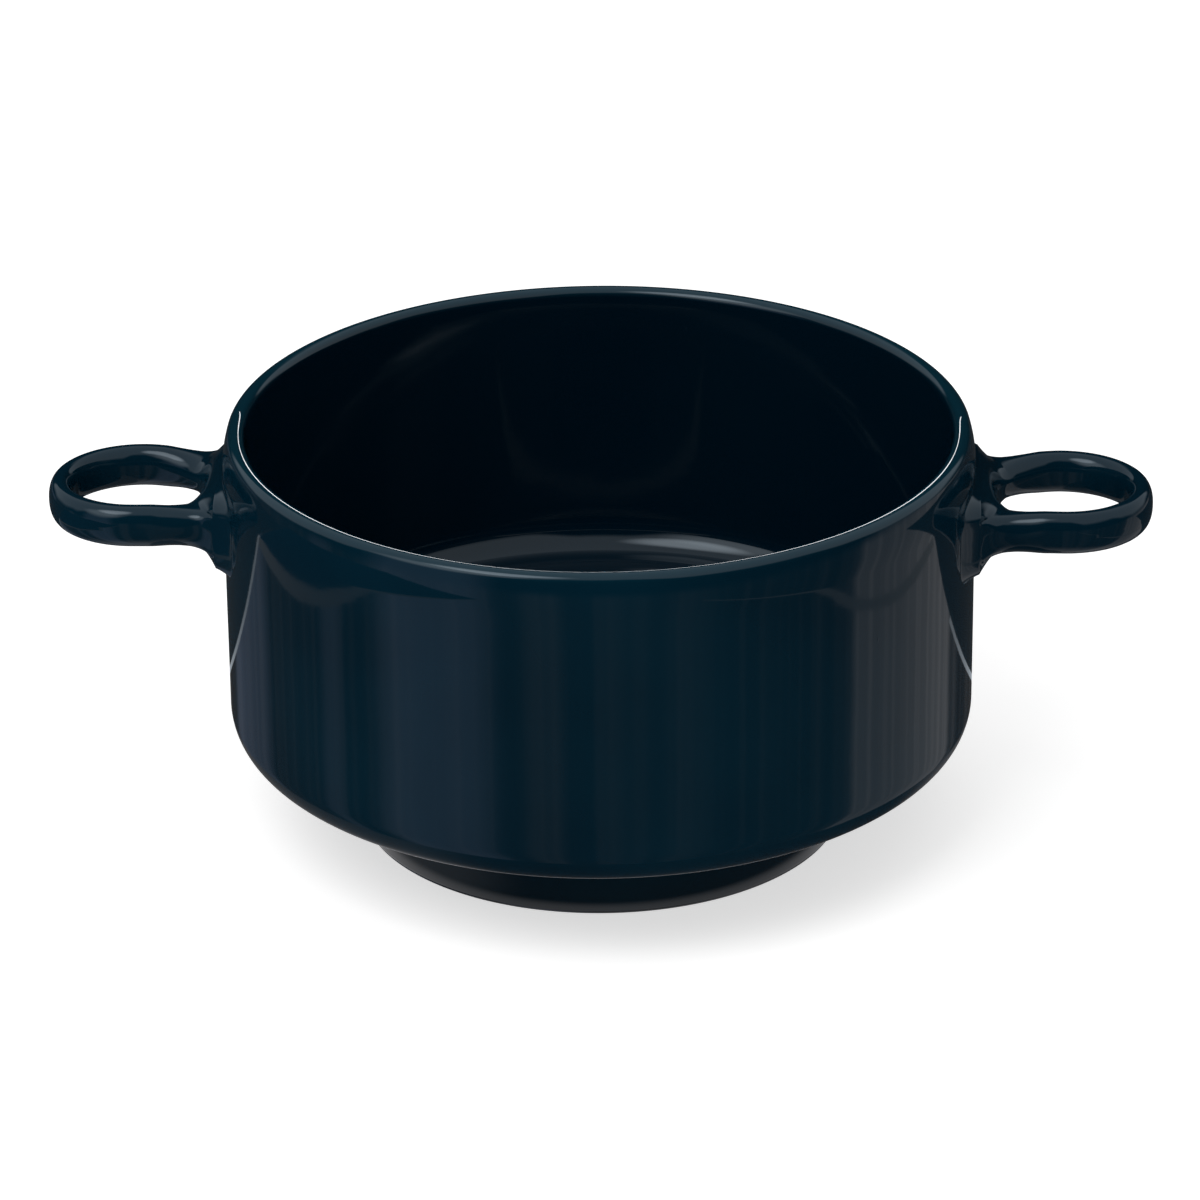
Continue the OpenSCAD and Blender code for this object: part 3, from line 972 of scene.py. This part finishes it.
def plate_finish():
    """Bright where the foot touches it, and darker on one side and farther out."""
    material, graph = new_finish("plate_near")
    parts = graph.node("ShaderNodeSeparateXYZ", {}, {0: object_place(graph)})
    x, y = (Wire(graph, parts.outputs[i]) for i in range(2))
    radius = x.sum("SQRT", x * x + y * y)
    azimuth = x.sum("ARCTAN2", x, y * -1.0) * (180 / math.pi)
    side = SHADED_GLOW + OPEN_GAIN * (1.0 - band(graph, azimuth, *SHADED_SIDE))
    contact = (1.0 - graph.ease(radius, CONTACT_FADE[0] * MM, CONTACT_FADE[1] * MM)) * CONTACT_GLOW
    nearer = (1.0 - graph.ease(radius, OVERHANG_FADE[0] * MM, OVERHANG_FADE[1] * MM)) * side
    glow_output(graph, tinted(graph, contact + nearer * 0.6 + side * 0.7, PLAIN_WHITE))
    return material


def strip_card(name, x_range, y_range, strength, tint):
    """A flat lit strip on the table, for reflections alone."""
    material, graph = new_finish(name)
    glow_output(graph, tuple(strength * t for t in tint) + (1.0,))
    (left, right), (front, back) = x_range, y_range
    corners = ((left, front), (right, front), (right, back), (left, back))
    points = [(x * MM, y * MM, STRIP_H * MM) for x, y in corners]
    only_in_reflections(stage_mesh(name, points, [(0, 1, 2, 3)], material))


plate_points = [
    (PLATE_R * MM * math.cos(a), PLATE_R * MM * math.sin(a), PLATE_H * MM)
    for a in (2 * math.pi * k / PLATE_STEPS for k in range(PLATE_STEPS))]
only_in_reflections(
    stage_mesh("plate_near", plate_points, [tuple(range(PLATE_STEPS))], plate_finish()))
# Each strip's reach in X and in Y, in millimetres, then its brightness and tint
BACK_LINE = (48.5, 51.5)
ALONGSIDE = (-300, BACK_LINE[0])
SKY_WHITE, PURE_WHITE, DEEP_BLUE = (0.9, 1.0, 1.1), (1.0, 1.0, 1.0), (0.6, 1.0, 1.6)
strip_card("plate_back_edge", (-180, 125), BACK_LINE, 0.45, SKY_WHITE)
strip_card("behind_the_plate", (-400, 400), (BACK_LINE[1], 400), 0.03, SKY_WHITE)
strip_card("plate_left_edge", (-176, -168), ALONGSIDE, 0.16, PURE_WHITE)
strip_card("left_of_plate", (-500, -176), ALONGSIDE, 0.03, DEEP_BLUE)
strip_card("plate_right_edge", (168, 174), ALONGSIDE, 0.22, PURE_WHITE)
print(f"plate: {2 * PLATE_R} mm across, with five strips beyond it")

# %% The card over the mouth
# A curved white card hangs over the mouth and faces the camera. It glows, and only reflections
# see it. The inner edge of the lip's front half mirrors it, as the thin white line of the
# photograph. From behind it is clear.
MOUTH_CARD_Y = 3.5
MOUTH_CARD_GLOW = 7.0
# How far out each corner pair is, and how far above the lip its lower and upper corners are
MOUTH_CARD = ((0, 16.0, 19.5), (20, 15.0, 20.0), (34.3, 13.4, 21.5), (47.5, 10.2, 17.0),
              (53.8, 7.5, 12.6), (57.2, 4.8, 8.1), (58.7, 1.9, 3.3), (59.8, 0.8, 1.4), (60.6, 0.1, 0.3))

card_finish, graph = new_finish("mouth_card")
lit = graph.wire(
    "ShaderNodeEmission", {}, {"Color": (1.0, 1.0, 1.02, 1.0), "Strength": MOUTH_CARD_GLOW})
clear = graph.wire("ShaderNodeBsdfTransparent")
behind = graph.wire("ShaderNodeNewGeometry", output=6)
graph.node("ShaderNodeOutputMaterial", {}, {
    0: graph.wire("ShaderNodeMixShader", {}, {0: behind, 1: lit, 2: clear})})
card_corners = [(-x, low, high) for x, low, high in MOUTH_CARD[:0:-1]] + list(MOUTH_CARD)
card_points = [
    (x * MM, MOUTH_CARD_Y * MM, (BOWL_H + rise) * MM)
    for x, low, high in card_corners for rise in (low, high)]
card_faces = [(2 * k, 2 * k + 2, 2 * k + 3, 2 * k + 1) for k in range(len(card_corners) - 1)]
only_in_reflections(stage_mesh("mouth_card", card_points, card_faces, card_finish))
print("mouth card:", len(card_faces), "faces")


# %% Lamps
def area_lamp(name, place, aim, size, radiance):
    """A soft box. Radiance is how bright its face looks, so its power follows from its area."""
    lamp = bpy.data.lights.new(name, "AREA")
    lamp.shape = "RECTANGLE"
    lamp.size, lamp.size_y = size
    lamp.energy = radiance * math.pi * size[0] * size[1]
    holder = bpy.data.objects.new(name, lamp)
    holder.location = place
    holder.rotation_euler = (Vector(aim) - Vector(place)).to_track_quat("-Z", "Y").to_euler()
    holder.visible_glossy = False  # the dome shows its soft box to reflections
    bpy.context.scene.collection.objects.link(holder)


KEY_DISTANCE, KEY_SIZE, KEY_RADIANCE = 1.5, (1.0, 0.8), 3.0
TOP_HEIGHT, TOP_SIZE, TOP_RADIANCE = 1.6, (2.0, 2.0), 0.45
KEY_AIM = (0, 0, 0.03)
key_place = tuple(KEY_DISTANCE * v for v in KEY_HEADING)
area_lamp("key_box", key_place, KEY_AIM, KEY_SIZE, KEY_RADIANCE)
area_lamp("tent_top", (0.0, 0.0, TOP_HEIGHT), (0, 0, 0), TOP_SIZE, TOP_RADIANCE)

# %% [markdown]
# ## Camera
#
# The photograph was measured with a pinhole model. The camera is a metre away, 25 degrees above
# the table, a little to the right of straight on, and rolled by half a degree.

# %% Camera
ELEVATION, SIDE_TURN, ROLL = 25.03, 2.3, -0.5
DISTANCE, FOCAL_PX, PICTURE_PX = 1.0, 5886.6, 1200
CENTRE_PX = (600.43, 618.05)
TARGET = Vector((0, 0, 0.035))

camera = bpy.data.cameras.new("camera")
camera.sensor_width = 36.0
camera.lens = FOCAL_PX / PICTURE_PX * camera.sensor_width
camera.shift_x = -(CENTRE_PX[0] - PICTURE_PX / 2) / PICTURE_PX
camera.shift_y = (CENTRE_PX[1] - PICTURE_PX / 2) / PICTURE_PX
camera.clip_start, camera.clip_end = 0.01, 20
holder = bpy.data.objects.new("camera", camera)
rise, turn = math.radians(ELEVATION), math.radians(SIDE_TURN)
back = Vector((math.sin(turn) * math.cos(rise), -math.cos(turn) * math.cos(rise), math.sin(rise)))
holder.location = TARGET + DISTANCE * back
facing = (-back).to_track_quat("-Z", "Y")
holder.rotation_mode = "QUATERNION"
holder.rotation_quaternion = facing @ Euler((0, 0, math.radians(ROLL))).to_quaternion()
bpy.context.scene.collection.objects.link(holder)
bpy.context.scene.camera = holder
bpy.context.scene.view_settings.view_transform = "Standard"
print(f"camera: lens {camera.lens:.1f} mm, {DISTANCE} m away")

# %% [markdown]
# ## Finish
#
# How far the corners of the dressed crock's box moved from those of the imported model is
# printed, to show that dressing it changed no size.

# %% Print the sizes and finish
dressed_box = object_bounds()
moved = [round((b - a) / MM, 3) for p, q in zip(packed_box, dressed_box) for a, b in zip(p, q)]
print("corners of the box moved by, in mm:", moved)
